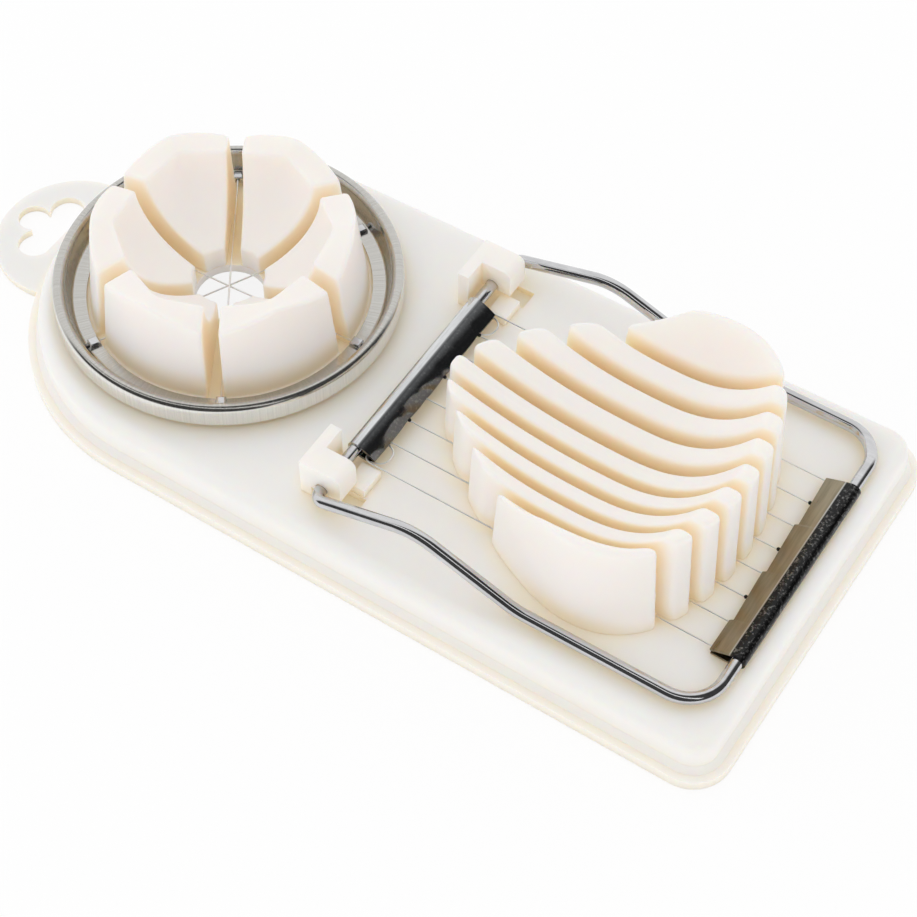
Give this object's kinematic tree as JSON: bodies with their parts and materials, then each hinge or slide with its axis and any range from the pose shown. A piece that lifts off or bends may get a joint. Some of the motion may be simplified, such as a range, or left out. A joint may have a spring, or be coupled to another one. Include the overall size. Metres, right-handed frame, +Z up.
{
  "type": "egg slicer",
  "caption": "Two-in-one kitchen egg slicer: plastic base with a ribbed cradle under a hinged wire frame and a petal cup under a loose wedging ring.",
  "frame": {"origin": "centre of the bounding box at the table, z = 0 under the base flange", "axes": "+X along the length from the hanging tab to the free end of the cutting frame, +Y across, +Z up"},
  "size_m": [0.2094, 0.0966, 0.037],
  "materials": {
    "ivory_plastic": "satin",
    "polished_rod": "polished",
    "strip_steel": "brushed",
    "cutting_wire": "polished",
    "ring_steel": "brushed wall with a polished rim"
  },
  "bodies": {
    "base": {"base_plate": "ivory_plastic", "hinge_lug_near": "ivory_plastic", "hinge_lug_far": "ivory_plastic", "wedge_petal_1": "ivory_plastic", "wedge_petal_2": "ivory_plastic", "wedge_petal_3": "ivory_plastic", "wedge_petal_4": "ivory_plastic", "wedge_petal_5": "ivory_plastic", "wedge_petal_6": "ivory_plastic", "slicer_rib_1": "ivory_plastic", "slicer_rib_2": "ivory_plastic", "slicer_rib_3": "ivory_plastic", "slicer_rib_4": "ivory_plastic", "slicer_rib_5": "ivory_plastic", "slicer_rib_6": "ivory_plastic", "slicer_rib_7": "ivory_plastic", "slicer_rib_8": "ivory_plastic", "slicer_rib_9": "ivory_plastic"},
    "cutting_frame": {"frame_rod": "polished_rod", "hinge_wire_strip": "strip_steel", "end_wire_strip": "strip_steel", "slicing_wire_pair_1": "cutting_wire", "slicing_wire_pair_2": "cutting_wire", "slicing_wire_pair_3": "cutting_wire", "slicing_wire_pair_4": "cutting_wire"},
    "wedging_ring": {"wedge_ring": "ring_steel", "wedge_wire_1": "cutting_wire", "wedge_wire_2": "cutting_wire", "wedge_wire_3": "cutting_wire", "wedge_wire_clips": "ring_steel"}
  },
  "joints": [
    {"name": "frame_hinge", "type": "hinge", "parent": "base", "child": "cutting_frame", "pos_m": [0.00645, 0, 0.0152], "axis": [0, -1, 0], "range_deg": [0, 95]},
    {"name": "ring_lift", "type": "slide", "parent": "base", "child": "wedging_ring", "axis": [0, 0, 1], "range_m": [0, 0.06]}
  ]
}
